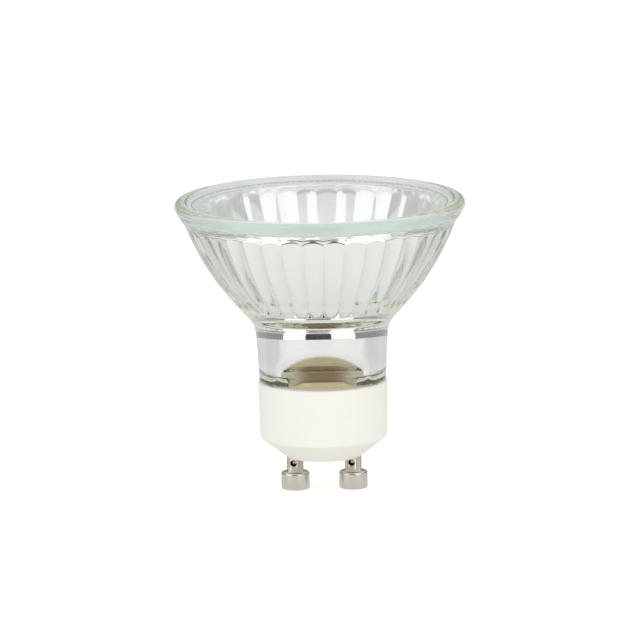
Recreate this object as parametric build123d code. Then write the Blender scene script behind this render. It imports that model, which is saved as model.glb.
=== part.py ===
from build123d import *
import math
import os

os.makedirs("parts", exist_ok=True)

# The origin is on the floor under the bulb's axis, +Z runs up the axis to the front glass,
# and the two contact pins stand on the X axis. All sizes are in millimetres or degrees.

# Contact pins
pin_spacing = 10.0
pin_head_r = 2.45
pin_head_height = 3.0
pin_head_edge = 0.35
pin_shank_r = 1.42
pin_gap = 2.86
pin_tenon_r = 1.15
pin_bore_r = 0.75
pin_bore_floor = 1.2
pin_flare_r = 1.9
pin_flare_height = 0.5
side_hole_r = 0.58
side_hole_rise = 1.6
side_hole_turn = 13.0

# Ceramic base
pin_margin = 1.5
base_r = 11.13
base_draft = 0.21
base_bevel_height = 3.44
base_draft_height = 6.6
base_upper_height = 3.26
base_floor = 2.8
base_wall = 1.83
base_edge = 0.4
flare_margin = 0.2

# Reflector: foot and neck
foot_depth = 5.2
foot_wall = 1.2
foot_side_wall = 1.5
neck_step = 0.25
neck_taper = 0.42
neck_height = 10.3
neck_wall = 1.6
neck_ledge = 1.2
neck_ledge_rise = 0.55
flat_inset = 3.88
flat_height = 2.3
flat_slope = 45.0
flat_corner_r = 1.5
shoulder_r = 4.5

# Reflector: bowl and rim
bowl_arc_r = 42.0
bowl_height = 16.9
bowl_top_r = 23.08
bowl_wall = 2.0
band_height = 3.4
flute_count = 38
flute_depth = 0.43
flute_start_depth = 0.12
flute_levels = 5
facet_bulge = 0.2
flute_turn = 1.4
collar_height = 2.3
collar_overlap = 0.75
collar_cover = 0.6
rim_overhang = 1.92
rim_width = 2.4
rim_height = 2.04
rim_outer_edge = 1.0
rim_top_flat = 0.6
rim_side_height = 2.75
rim_side_inset = 0.7

# Cover glass and its seal
lens_thickness = 1.4
lens_seal_width = 0.5
plain_band_height = 1.7

# Burner
capsule_r = 4.5
capsule_wall = 1.0
capsule_height = 9.5
capsule_base_r = 2.5
pinch_thickness = 2.6
pinch_height = 12.6
pinch_border = 0.6
pinch_edge = 0.4
tip_r = 0.9
tip_height = 1.6
burner_drop = 1.0
bore_cement_height = 4.2
bore_cement_rise = 0.6

# Wires, foils and filament
lead_r = 0.25
lead_spacing = 3.8
lead_bend_r = 0.7
foil_width = 2.2
foil_thickness = 0.1
foil_height = 4.6
foil_margin = 3.5
foil_grip = 1.2
filament_r = 0.62
filament_wire_r = 0.16
filament_turns = 7
filament_pitch = 0.75
filament_rise = 3.2

# Cement of the base and fits
cement_depth = 4.5
cement_gap = 0.4
cement_rise = 0.85
fit = 0.05
bead_r = 0.68

# Heights along the axis
z_base = pin_head_height + pin_gap
z_bevel = z_base + base_bevel_height
z_base_top = z_bevel + base_draft_height + base_upper_height
z_shoulder = z_base_top + neck_height
z_bowl_top = z_shoulder + bowl_height
z_flute = z_shoulder + band_height
z_rim_side = z_bowl_top + collar_height
z_rim_top = z_rim_side + rim_height
z_foot = z_base_top - foot_depth
z_cup_floor = z_base + base_floor
z_flat = z_base_top + flat_height
z_ledge = z_base_top + neck_ledge
z_bore_cement = z_flat + bore_cement_rise
z_lens = z_rim_side
z_side_hole = pin_head_height + side_hole_rise

# Radii and half-widths that follow from the ones above
sides = {"left": -1, "right": 1}
pin_x = pin_spacing / 2
lead_x = lead_spacing / 2
base_bottom_r = pin_x + pin_margin
base_bevel_r = base_r - base_draft
cup_r = base_r - base_wall
cup_floor_r = pin_x + pin_flare_r + flare_margin
foot_r = cup_r - cement_gap
neck_foot_r = base_r - neck_step
neck_top_r = neck_foot_r + neck_taper
foot_flat = neck_foot_r - flat_inset
bore_flat = foot_flat - foot_wall
bore_r = foot_r - foot_side_wall
throat_r = neck_top_r - neck_wall
rim_r = bowl_top_r + rim_overhang
lens_seat_r = rim_r - rim_width
lens_r = lens_seat_r - lens_seal_width
rim_inner_edge = rim_width - rim_outer_edge - rim_top_flat
pinch_width = lead_spacing + foil_width + 2 * pinch_border


def arc_centre(r_low, z_low, r_high, z_high, arc_r):
    """Centre of the bowl's arc through two points, on the side of the axis."""
    dr = r_high - r_low
    dz = z_high - z_low
    chord = math.hypot(dr, dz)
    reach = math.sqrt(arc_r**2 - chord**2 / 4)
    r_mid = (r_low + r_high) / 2
    z_mid = (z_low + z_high) / 2
    return r_mid - reach * dz / chord, z_mid + reach * dr / chord


bowl_centre_r, bowl_centre_z = arc_centre(
    neck_top_r, z_shoulder, bowl_top_r, z_bowl_top, bowl_arc_r
)


def bowl_radius(z, inset=0.0):
    """Radius of the bowl's crest line at a height, moved inwards by the wall that is given."""
    arc_r = bowl_arc_r - inset
    return bowl_centre_r + math.sqrt(arc_r**2 - (bowl_centre_z - z) ** 2)


def bowl_level(r, inset=0.0):
    """Height at which the bowl's crest line has a radius."""
    arc_r = bowl_arc_r - inset
    return bowl_centre_z - math.sqrt(arc_r**2 - (r - bowl_centre_r) ** 2)


# Heights of the throat, and of the burner, whose capsule starts just below it
z_throat_top = bowl_level(throat_r, bowl_wall)
z_capsule = z_throat_top - burner_drop
z_capsule_side = z_capsule + capsule_r - capsule_base_r
z_pinch = z_capsule_side - pinch_height
z_foil = z_pinch + foil_margin
z_foil_top = z_foil + foil_height
z_filament = z_capsule + filament_rise

# Radius of the plain band between the facets and the cover glass
band_r = bowl_radius(z_lens - plain_band_height, bowl_wall)


def turned(edges):
    """Solid of revolution about Z from a closed outline in the XZ plane."""
    return revolve(make_face(Curve() + edges), Axis.Z)


def closed_outline(points):
    return [Polyline(*[(r, 0, z) for r, z in points], close=True)]


def softened(outline, corners, radius):
    """Outline with a rounded corner at each point that is given."""
    vertices = [outline.vertices().sort_by_distance(corner)[0] for corner in corners]
    return fillet(vertices, radius)


def bowl_arc(z_low, z_high, inset=0.0):
    z_mid = (z_low + z_high) / 2
    ends = [(bowl_radius(z, inset), 0, z) for z in (z_low, z_mid, z_high)]
    return ThreePointArc(*ends)


def chain(*points):
    return Polyline(*[(r, 0, z) for r, z in points])


def ring_of_arcs(z, corner_r, middle_r):
    """Closed outline of one arc for each flute, from corner to corner through its middle."""
    step = 360 / flute_count
    arcs = []
    for index in range(flute_count):
        start = math.radians(-90 + flute_turn + index * step)
        middle = start + math.radians(step / 2)
        end = start + math.radians(step)
        arcs.append(
            ThreePointArc(
                (corner_r * math.cos(start), corner_r * math.sin(start), z),
                (middle_r * math.cos(middle), middle_r * math.sin(middle), z),
                (corner_r * math.cos(end), corner_r * math.sin(end), z),
            )
        )
    return Face(Wire(arcs))


def flute_heights(z_low, z_high):
    step = (z_high - z_low) / (flute_levels - 1)
    return [z_low + index * step for index in range(flute_levels)]


def fluted_solid(z_low, z_high):
    """Outside of the bowl: flutes bulge outwards, with a groove between two. They start
    shallow at the smooth band and have their full depth above it."""
    faces = []
    for z in flute_heights(z_low, z_high):
        depth = flute_start_depth if z == z_low else flute_depth
        crest_r = bowl_radius(z, fit)
        faces.append(ring_of_arcs(z, crest_r - depth, crest_r))
    return loft(faces)


def faceted_solid(z_low, z_high):
    """Inside of the bowl: facets that bulge slightly inwards, with their corners in line
    with the grooves outside."""
    faces = []
    for z in flute_heights(z_low, z_high):
        corner_r = bowl_radius(z, bowl_wall)
        faces.append(ring_of_arcs(z, corner_r, corner_r - facet_bulge))
    return loft(faces)


def neck_and_band():
    """Tapered neck, concave shoulder and the smooth band below the flutes."""
    outline = make_face(
        Curve()
        + [
            chain((0, z_base_top), (neck_foot_r, z_base_top), (neck_top_r, z_shoulder)),
            bowl_arc(z_shoulder, z_flute),
            chain((bowl_radius(z_flute), z_flute), (0, z_flute), (0, z_base_top)),
        ]
    )
    return revolve(softened(outline, [(neck_top_r, 0, z_shoulder)], shoulder_r), Axis.Z)


def rounded(centre_r, centre_z, radius, start, end):
    """Arc in the XZ plane about a centre, from one angle to another, in degrees."""
    angles = [math.radians(angle) for angle in (start, (start + end) / 2, end)]
    points = [
        (centre_r + radius * math.cos(angle), 0, centre_z + radius * math.sin(angle))
        for angle in angles
    ]
    return ThreePointArc(*points)


def ends(arc):
    """First and last point of an arc, as radius and height."""
    return [(point.X, point.Z) for point in (arc @ 0, arc @ 1)]


def collar_and_rim():
    """Slanting underside that hides the flutes' upper ends, and the rounded rim above it."""
    z_root = z_bowl_top - collar_overlap
    root_r = bowl_radius(z_root) - 1.5 * flute_depth
    underside = (rim_r - rim_side_inset, z_rim_top - rim_side_height)
    outer = rounded(rim_r - rim_outer_edge, z_rim_top - rim_outer_edge, rim_outer_edge, -10, 90)
    inner = rounded(lens_seat_r + rim_inner_edge, z_rim_top - rim_inner_edge, rim_inner_edge, 90, 180)
    outer_low, outer_high = ends(outer)
    inner_high, inner_low = ends(inner)
    return turned(
        [
            chain((0, z_root), (root_r, z_root), underside, outer_low),
            outer,
            chain(outer_high, inner_high),
            inner,
            chain(inner_low, (0, inner_low[1]), (0, z_root)),
        ]
    )


def neck_foot():
    """Foot of the neck, which stands in the ceramic cup."""
    foot = Cylinder(foot_r, foot_depth + flat_height, align=(Align.CENTER, Align.CENTER, Align.MIN))
    return Pos(0, 0, z_foot) * foot


def beyond_flat(side, distance, z_corner, corner_r):
    """Space beyond one flat: upright up to its corner, then slanting outwards and up."""
    reach = 2 * neck_top_r
    slope = math.tan(math.radians(flat_slope))
    z_end = z_corner + (reach - distance) * slope
    outline = Polyline(
        (0, -distance, z_foot - fit),
        (0, -distance, z_corner),
        (0, -reach, z_end),
        (0, -reach, z_foot - fit),
        close=True,
    )
    face = softened(make_face(outline), [(0, -distance, z_corner)], corner_r)
    space = extrude(face, reach, dir=(1, 0, 0), both=True)
    return space if side < 0 else space.rotate(Axis.Z, 180)


def glass_neck():
    """Outer form of the neck with its foot and both flats, before it is hollowed."""
    neck = neck_and_band() + neck_foot()
    for side in sides.values():
        neck -= beyond_flat(side, foot_flat, z_flat, flat_corner_r)
    return neck


def neck_hollow():
    """Round bore with a ledge above the foot, straight up to the throat, and a flat behind
    each flat of the outside."""
    z_neck = z_ledge + neck_ledge_rise
    hollow = turned(
        closed_outline(
            [
                (0, z_foot - fit),
                (bore_r, z_foot - fit),
                (bore_r, z_ledge),
                (throat_r, z_neck),
                (throat_r, z_throat_top),
                (throat_r, z_flute),
                (0, z_flute),
            ]
        )
    )
    slope = math.tan(math.radians(flat_slope))
    z_widen = z_flat + foot_wall * (math.hypot(1, slope) - 1)
    for side in sides.values():
        hollow -= beyond_flat(side, bore_flat, z_widen, flat_corner_r)
    return hollow


def bowl_hollow():
    """Inside of the bowl: smooth bottom, facets, upright band and seat of the cover glass."""
    z_low = z_flute + bowl_wall / 2
    bottom = turned(
        [
            chain((0, z_throat_top), (throat_r, z_throat_top)),
            bowl_arc(z_throat_top, z_low, bowl_wall),
            chain((bowl_radius(z_low, bowl_wall), z_low), (0, z_low), (0, z_throat_top)),
        ]
    )
    facets = faceted_solid(z_low, z_lens + fit)
    band = Cylinder(band_r, z_lens, align=(Align.CENTER, Align.CENTER, Align.MIN))
    z_seat_middle = (z_lens + z_rim_top) / 2
    seat = Pos(0, 0, z_seat_middle) * Cylinder(lens_seat_r, z_rim_top - z_lens)
    return bottom + (facets & band) + seat


def make_reflector():
    z_flute_top = z_bowl_top + collar_height * collar_cover
    glass = glass_neck() + fluted_solid(z_flute, z_flute_top) + collar_and_rim()
    return glass - bowl_hollow() - neck_hollow()


def make_front_lens():
    disc = Cylinder(lens_r, lens_thickness, align=(Align.CENTER, Align.CENTER, Align.MIN))
    return Pos(0, 0, z_lens) * disc


def make_lens_seal():
    """Silicone that fills the gap around the cover glass."""
    outline = [
        (lens_r, z_lens),
        (lens_seat_r, z_lens),
        (lens_seat_r, z_lens + lens_thickness),
        (lens_r, z_lens + lens_thickness),
    ]
    return turned(closed_outline(outline))


def base_slope():
    """Outward run of the ceramic bevel for each millimetre of height."""
    return (base_bevel_r - base_bottom_r) / base_bevel_height


def make_ceramic_base():
    """Cup with a bevelled underside and two holes for the pins."""
    outline = make_face(
        closed_outline(
            [
                (0, z_base),
                (base_bottom_r, z_base),
                (base_bevel_r, z_bevel),
                (base_r, z_bevel + base_draft_height),
                (base_r, z_base_top),
                (0, z_base_top),
            ]
        )
    )
    corners = [(base_bottom_r, 0, z_base), (base_bevel_r, 0, z_bevel), (base_r, 0, z_base_top)]
    cup = revolve(softened(outline, corners, base_edge), Axis.Z)
    z_wall = z_cup_floor + (cup_r - cup_floor_r) / base_slope()
    hollow = [
        (0, z_cup_floor),
        (cup_floor_r, z_cup_floor),
        (cup_r, z_wall),
        (cup_r, z_base_top),
        (0, z_base_top),
    ]
    cup -= turned(closed_outline(hollow))
    for side in sides.values():
        cup -= Pos(side * pin_x, 0, z_base) * Cylinder(pin_tenon_r + fit, 2 * base_floor + fit)
    return cup


def make_base_cement():
    """Cement between the foot and the cup, which rises to the glass at both flats."""
    z_low = z_base_top - cement_depth
    block = turned(
        closed_outline(
            [
                (0, z_low),
                (cup_r, z_low),
                (cup_r, z_base_top),
                (foot_flat, z_base_top + cement_rise),
                (0, z_base_top + cement_rise),
            ]
        )
    )
    return block - glass_neck()


def make_contact_pin(side):
    """Hollow pin: mushroom head, shank, tenon through the ceramic, flared over inside."""
    z_flare = z_cup_floor + pin_flare_height
    outline = make_face(
        closed_outline(
            [
                (0, 0),
                (pin_head_r, 0),
                (pin_head_r, pin_head_height),
                (pin_shank_r, pin_head_height),
                (pin_shank_r, z_base),
                (pin_tenon_r, z_base),
                (pin_tenon_r, z_cup_floor),
                (pin_flare_r, z_cup_floor),
                (pin_flare_r, z_flare),
                (0, z_flare),
            ]
        )
    )
    corners = [(pin_head_r, 0, 0), (pin_head_r, 0, pin_head_height)]
    pin = revolve(softened(outline, corners, pin_head_edge), Axis.Z)
    bore = Cylinder(pin_bore_r, z_flare, align=(Align.CENTER, Align.CENTER, Align.MIN))
    hole = Cylinder(side_hole_r, 2 * pin_shank_r, align=(Align.CENTER, Align.CENTER, Align.MIN))
    aimed = Pos(0, 0, z_side_hole) * Rot(0, 0, -side_hole_turn) * Rot(90, 0, 0) * hole
    return Pos(side * pin_x, 0, 0) * (pin - Pos(0, 0, pin_bore_floor) * bore - aimed)


def make_weld_bead(side):
    """Bead at the wire's end, inside the pin behind its side hole."""
    wire = Cylinder(lead_r, 2 * bead_r, align=(Align.CENTER, Align.CENTER, Align.MIN))
    return Pos(side * pin_x, 0, z_side_hole) * (Sphere(bead_r) - wire)


def wire_along(points, bend_r):
    """Round wire along a bent route in the XZ plane."""
    route = FilletPolyline(*[(x, 0, z) for x, z in points], radius=bend_r)
    section = Plane(origin=route @ 0, z_dir=route % 0) * Circle(lead_r)
    return sweep(section, path=route)


def make_lead_wire(side):
    """Wire from a foil, down through the foot and the cup, to the bead in its pin."""
    route = [
        (side * lead_x, z_foil + foil_grip),
        (side * lead_x, z_foot + lead_r * 4),
        (side * pin_x, z_cup_floor + pin_flare_height + lead_bend_r * 3),
        (side * pin_x, z_side_hole),
    ]
    return wire_along(route, lead_bend_r)


def make_inner_lead(side):
    """Wire from a foil to one end of the filament: short on the left, long on the right."""
    z_start = z_foil_top - foil_grip
    z_low_end = z_filament - filament_wire_r
    z_high_end = z_filament + filament_pitch * filament_turns + filament_wire_r
    spud = filament_pitch
    if side < 0:
        route = [
            (-lead_x, z_start),
            (-lead_x, z_low_end - 2 * lead_bend_r),
            (0, z_low_end - lead_bend_r),
            (0, z_low_end + spud),
        ]
    else:
        z_arm = z_high_end + lead_x / 2
        route = [(lead_x, z_start), (lead_x, z_arm), (0, z_arm), (0, z_high_end - spud)]
    return wire_along(route, lead_bend_r)


def make_seal_foil(side):
    foil = Box(foil_width, foil_thickness, foil_height, align=(Align.CENTER, Align.MAX, Align.MIN))
    return Pos(side * lead_x, -lead_r, z_foil) * foil


def make_filament():
    """Coil on the axis, whose ends grip the tips of the inner leads."""
    path = Helix(filament_pitch, filament_pitch * filament_turns, filament_r)
    section = Plane(origin=path @ 0, z_dir=path % 0) * RegularPolygon(filament_wire_r, 6)
    return Pos(0, 0, z_filament) * sweep(section, path=path, is_frenet=True)


def capsule_shape(inset):
    """Body of the quartz capsule, closed by a dome, moved inwards by its wall."""
    radius = capsule_r - inset
    z_low = z_capsule + inset
    z_side = z_capsule_side + inset
    z_dome = z_capsule + capsule_height
    dome = rounded(0, z_dome, radius, 0, 90)
    return turned(
        [
            chain((0, z_low), (capsule_base_r - inset, z_low), (radius, z_side), (radius, z_dome)),
            dome,
            chain((0, z_dome + radius), (0, z_low)),
        ]
    )


def pinch_body():
    """Flat foot of the burner, with rounded upright edges."""
    pinch = Box(pinch_width, pinch_thickness, pinch_height, align=(Align.CENTER, Align.CENTER, Align.MIN))
    return fillet(pinch.edges().filter_by(Axis.Z), pinch_edge)


def make_burner_envelope():
    """Quartz capsule with its sealed-off tip and the flat pinch that holds foils and wires."""
    tip = Cone(tip_r, tip_r / 2, tip_height, align=(Align.CENTER, Align.CENTER, Align.MIN))
    z_tip = z_capsule + capsule_height + capsule_r - tip_height / 2
    quartz = capsule_shape(0) + Pos(0, 0, z_pinch) * pinch_body() + Pos(0, 0, z_tip) * tip
    quartz -= capsule_shape(capsule_wall)
    for side in sides.values():
        quartz = quartz - make_seal_foil(side) - make_lead_wire(side) - make_inner_lead(side)
    return quartz


def make_burner_cement():
    """Cement that fills the foot's bore around the burner's pinch and both wires."""
    block = Cylinder(throat_r, bore_cement_height, align=(Align.CENTER, Align.CENTER, Align.MAX))
    cement = (Pos(0, 0, z_bore_cement) * block) & neck_hollow()
    cement -= Pos(0, 0, z_pinch) * pinch_body()
    for side in sides.values():
        cement -= make_lead_wire(side)
    return cement


def all_parts():
    parts = {
        "reflector": make_reflector(),
        "front_lens": make_front_lens(),
        "lens_seal": make_lens_seal(),
        "ceramic_base": make_ceramic_base(),
        "base_cement": make_base_cement(),
        "burner_cement": make_burner_cement(),
        "burner_envelope": make_burner_envelope(),
        "filament": make_filament(),
    }
    makers = {
        "contact_pin": make_contact_pin,
        "weld_bead": make_weld_bead,
        "lead_wire": make_lead_wire,
        "inner_lead": make_inner_lead,
        "seal_foil": make_seal_foil,
    }
    for name, maker in makers.items():
        for word, side in sides.items():
            parts[f"{name}_{word}"] = maker(side)
    return parts


for node, shape in all_parts().items():
    export_step(shape, f"parts/{node}.step")
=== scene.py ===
import math

import bmesh
import bpy
import numpy as np
from mathutils import Euler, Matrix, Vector


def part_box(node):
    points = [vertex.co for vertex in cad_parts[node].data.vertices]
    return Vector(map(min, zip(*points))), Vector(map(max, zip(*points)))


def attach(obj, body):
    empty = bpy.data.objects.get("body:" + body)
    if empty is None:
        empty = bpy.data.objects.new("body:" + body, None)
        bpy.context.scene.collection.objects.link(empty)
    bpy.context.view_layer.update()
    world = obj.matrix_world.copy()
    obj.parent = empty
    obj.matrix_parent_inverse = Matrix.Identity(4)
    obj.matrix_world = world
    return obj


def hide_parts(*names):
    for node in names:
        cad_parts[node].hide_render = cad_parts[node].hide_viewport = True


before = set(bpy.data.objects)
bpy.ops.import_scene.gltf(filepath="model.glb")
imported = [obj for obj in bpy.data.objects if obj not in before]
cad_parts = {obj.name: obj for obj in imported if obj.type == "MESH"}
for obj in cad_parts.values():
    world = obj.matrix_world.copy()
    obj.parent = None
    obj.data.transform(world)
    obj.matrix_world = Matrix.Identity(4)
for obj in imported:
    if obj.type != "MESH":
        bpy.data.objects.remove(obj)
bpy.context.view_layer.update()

# Everything is in metres. The bulb stands on its two pins, +Z runs up its axis, and the
# camera looks along +Y. Sizes that the frame doesn't give are written in millimetres, and
# angles in degrees.
MM = 0.001

# Places read from the frame
GLASS_LOW, GLASS_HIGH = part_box("reflector")
BASE_LOW, BASE_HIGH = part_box("ceramic_base")
LENS_LOW, LENS_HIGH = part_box("front_lens")
CEMENT_LOW, CEMENT_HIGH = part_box("base_cement")
COIL_LOW, COIL_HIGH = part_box("filament")

# Neck and foot
NECK_STEP = 0.25 * MM
NECK_TAPER = 0.42 * MM
NECK_HEIGHT = 10.3 * MM
NECK_WALL = 1.6 * MM
FOOT_SIDE_WALL = 1.5 * MM
NECK_LEDGE = 1.2 * MM
NECK_LEDGE_RISE = 0.55 * MM
LEDGE_EDGE = 0.15 * MM
FLAT_INSET = 3.88 * MM
FLAT_HEIGHT = 2.3 * MM
FLAT_CORNER = 0.7 * MM
FLAT_EDGE = 0.5 * MM
THROAT_EDGE = 0.25 * MM
FOOT_WALL = 1.2 * MM
FOOT_GAP = 0.03 * MM
BASE_WALL = 1.83 * MM
CEMENT_GAP = 0.4 * MM
BORE_CEMENT_HEIGHT = 4.2 * MM
BORE_CEMENT_RISE = 0.6 * MM
FOOT_EDGE = 0.15 * MM
COLLAR_CEMENT_GAP = 0.01 * MM
CEMENT_CURVE = 1.4
CEMENT_LUMPS = 0.06 * MM
CEMENT_SAG = 0.05 * MM

# Bowl and rim
BOWL_ARC_R = 42.0 * MM
BOWL_HEIGHT = 16.9 * MM
BOWL_WALL = 2.0 * MM
BAND_HEIGHT = 3.4 * MM
SHOULDER_BLEND = 1.4 * MM
FLUTES = 38
FLUTE_DEPTH = 0.43 * MM
FACET_BULGE = 0.2 * MM
FLUTE_FADE = 0.9 * MM
FLUTE_TURN = 1.4
GROOVE_ROUND = 0.05
COLLAR_OVERLAP = 0.75 * MM
COLLAR_BLEND = 0.3 * MM
BAND_BLEND = 0.1 * MM
RIM_OVERHANG = 1.92 * MM
RIM_EDGE = 1.0 * MM
RIM_INNER_EDGE = 0.8 * MM
RIM_TOP_FLAT = 0.6 * MM
RIM_SIDE_HEIGHT = 2.75 * MM
RIM_SIDE_INSET = 0.7 * MM
RIM_SIDE_EDGE = 0.35 * MM
LENS_SEAT_GAP = 0.02 * MM
PLAIN_BAND = 1.7 * MM
LENS_BEVEL = 0.12 * MM
SEAT_DEPTH = 0.8 * MM
SEAT_EDGE = 0.1 * MM
BEAD_LOW_ANGLE = 10
# Extra rows beside an edge, in millimetres from it
COLLAR_STEPS = (-0.4, -0.25, -0.12, -0.04, 0.04, 0.12, 0.25, 0.4)
BAND_STEPS = (0.2, 0.1, 0.04, 0.0, -0.04, -0.1, -0.2)

# Mirror film on the inside of the glass
FILM_GAP = 0.03 * MM
FILM_THICKNESS = 0.03 * MM
FILM_DEPTH = 0.5 * MM
FOOT_MARGIN = 0.5 * MM
FLAT_FADE = 0.05

# Base and pins
BEVEL_HEIGHT = 3.44 * MM
BASE_DRAFT = 0.21 * MM
DRAFT_HEIGHT = 6.6 * MM
BASE_FLOOR = 2.8 * MM
CERAMIC_EDGE = 0.4 * MM
PIN_SPACING = 10.0 * MM
PIN_MARGIN = 1.5 * MM
PIN_BORE_R = 0.75 * MM
FLARE_R = 1.9 * MM

# Copies of the frame's own meshes
MERGE_DISTANCE = 0.0005 * MM
SHARP_ANGLE = 32

# Filament
COIL_TURNS = 21
WIRE_R = 0.07 * MM
COIL_SIDE_GAP = 0.16 * MM
COIL_END_GAP = 0.2 * MM
TAPER_STEEPNESS = 400
WIRE_END_SHARE = 0.05

# Finishes, as linear colours
GLASS_IOR = 1.5
GLASS_DEPTH_COLOUR = (0.76, 0.90, 0.55, 1)
GLASS_DENSITY = 13.0
GLASS_RIPPLE_SCALE = 350.0
GLASS_RIPPLE_DEPTH = 0.01 * MM
NICKEL = (0.80, 0.76, 0.68)
NICKEL_DULL = (0.66, 0.62, 0.54)
# Inside of the pins' bores: a copper tone, darkened as painted shade of the hollow
COPPER_IN_PAINTED_SHADE = (0.42, 0.16, 0.06)
CERAMIC = (0.87, 0.87, 0.79)
CERAMIC_DULL = (0.84, 0.84, 0.76)
CEMENT = (0.62, 0.50, 0.31)
CEMENT_PALE = (0.72, 0.63, 0.43)
# Brown of the bore cement's middle: painted shade for the shadow of the burner's pinch and wires
PAINTED_SHADE_CEMENT = (0.40, 0.29, 0.15)
PAINTED_SHADE_CEMENT_DULL = (0.50, 0.39, 0.22)
OUTER_CEMENT = (0.88, 0.86, 0.64)
OUTER_DULL = (0.80, 0.77, 0.56)
# Distances from the YZ plane over which the painted shade in the bore cement fades to cream
PAINTED_SHADE_REACH = (2.0 * MM, 5.5 * MM)
FILM = (0.92, 0.92, 0.90)
FILM_DULL = (0.88, 0.89, 0.88)
COVER_TINT = (0.98, 1.0, 0.99)
QUARTZ_TINT = (1.0, 1.0, 1.0)
QUARTZ_IOR = 1.46
WELD = (0.86, 0.72, 0.55)
WELD_DULL = (0.6, 0.4, 0.25)
WIRE = (0.55, 0.54, 0.52)
WIRE_DULL = (0.42, 0.41, 0.40)
TUNGSTEN = (0.30, 0.30, 0.32)
TUNGSTEN_DULL = (0.22, 0.22, 0.24)
SILICONE = (0.76, 0.90, 0.83)
SILICONE_DULL = (0.70, 0.84, 0.77)

# Setting: the camera's numbers give the photograph's scale and place
CAMERA_DISTANCE = 1.4
CAMERA_RISE = 10.9
CAMERA_ROLL = -1.0
CAMERA_SIDE = -0.3 * MM
CAMERA_AIM_Z = 29.5 * MM
PIXELS_PER_M = 5810.0
PHOTO_PIXELS = 640
SENSOR = 36.0
SKY_GREY = 0.95
SKY_DIFFUSE = 1.0
SKY_INSIDE = 2.2
SOFT_EDGE = 2.0
# Each window of the sky: turn and rise, low and high, in degrees, and its brightness. A
# later window covers an earlier one.
STUDIO_WINDOWS = [
    ((-179, 179, 38, 90), 1.15),
    ((-179, 179, -3, 27), 0.3),
    ((-80, -26, -2, 78), 1.85),
    ((12, 67, -2, 78), 1.85),
    ((-33, 19, -4, 30), 0.01),
    ((-70, 60, -4, 1), 0.03),
]
LIGHT_BOUNCES = 24
FLOOR_REACH = 3.0
FLOOR_TONE = 0.88
FLOOR_GLOW = 0.4
FLOOR_LIFT = 0.12
FLOOR_FRONT = 0.9
FLOOR_BACK = 0.70
FLOOR_CHANGE = (-45.0 * MM, 15.0 * MM)
LAMP_POWER = 1.45
LAMP_SIZE = 0.6
LAMP_PLACES = [(-0.55, -0.55, 0.25), (0.55, -0.55, 0.25)]
LAMP_AIM = (0.0, 0.0, 0.02)

# Places worked out from the frame and the sizes above
BASE_R = BASE_HIGH[0]
Z_BASE_TOP = BASE_HIGH[2]
Z_FOOT = GLASS_LOW[2]
Z_RIM_TOP = GLASS_HIGH[2]
Z_LENS = LENS_LOW[2]
Z_SHOULDER = Z_BASE_TOP + NECK_HEIGHT
Z_BOWL_TOP = Z_SHOULDER + BOWL_HEIGHT
Z_FLUTE = Z_SHOULDER + BAND_HEIGHT
Z_FLAT = Z_BASE_TOP + FLAT_HEIGHT
Z_BAND = Z_LENS - PLAIN_BAND
RIM_R = GLASS_HIGH[0]
BOWL_TOP_R = RIM_R - RIM_OVERHANG
NECK_FOOT_R = BASE_R - NECK_STEP
NECK_TOP_R = NECK_FOOT_R + NECK_TAPER
FLAT_D = NECK_FOOT_R - FLAT_INSET
BORE_FLAT_D = FLAT_D - FOOT_WALL
Z_BORE_CEMENT = Z_FLAT + BORE_CEMENT_RISE
THROAT_R = NECK_TOP_R - NECK_WALL
FLAT_SHARE = BORE_FLAT_D / THROAT_R
CUP_R = BASE_R - BASE_WALL
FOOT_R = CUP_R - CEMENT_GAP
BORE_R = FOOT_R - FOOT_SIDE_WALL
Z_LEDGE = Z_BASE_TOP + NECK_LEDGE
LENS_SEAT_R = RIM_R - RIM_EDGE - RIM_INNER_EDGE - RIM_TOP_FLAT


# Shapes

def soft_min(a, b, blend):
    """Smaller of two values, with a rounded change from one to the other."""
    return 0.5 * (a + b - np.sqrt((a - b) ** 2 + blend**2))


def soft_max(a, b, blend):
    """Larger of two values, with a rounded change from one to the other."""
    return 0.5 * (a + b + np.sqrt((a - b) ** 2 + blend**2))


def arc_centre(r_low, z_low, r_high, z_high, arc_r):
    """Centre of an arc through two points: half the chord along, then square to it."""
    dr = r_high - r_low
    dz = z_high - z_low
    chord = math.hypot(dr, dz)
    reach = math.sqrt(arc_r**2 - chord**2 / 4)
    r_mid = (r_low + r_high) / 2
    z_mid = (z_low + z_high) / 2
    return r_mid - reach * dz / chord, z_mid + reach * dr / chord


BOWL_C = arc_centre(NECK_TOP_R, Z_SHOULDER, BOWL_TOP_R, Z_BOWL_TOP, BOWL_ARC_R)


def bowl_radius(z, inset=0.0):
    """Bowl's crest line: the arc's radius at a height, with the wall taken off."""
    arc_r = BOWL_ARC_R - inset
    return BOWL_C[0] + np.sqrt(np.maximum(arc_r**2 - (BOWL_C[1] - z) ** 2, 0))


def bowl_level(r, inset=0.0):
    """Height at which the bowl's crest line has a radius."""
    arc_r = BOWL_ARC_R - inset
    return BOWL_C[1] - math.sqrt(arc_r**2 - (r - BOWL_C[0]) ** 2)


BAND_R = float(bowl_radius(Z_BAND, BOWL_WALL))
Z_THROAT = bowl_level(THROAT_R, BOWL_WALL)


def flute_columns():
    """Angles of the grid's columns, closer together beside each groove, and the place
    across the flute from -1 to 1 for each column."""
    half = np.array([0.12, 0.35, 0.57, 0.75, 0.88, 0.96])
    places = np.concatenate([[-1], -half[::-1], half])
    step = 2 * math.pi / FLUTES
    start = math.radians(-90 + FLUTE_TURN)
    index = np.arange(FLUTES)[:, None]
    theta = start + (index + (places + 1) / 2) * step
    across = np.broadcast_to(places, theta.shape)
    return theta.ravel(), across.ravel()


THETA, ACROSS = flute_columns()


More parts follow.
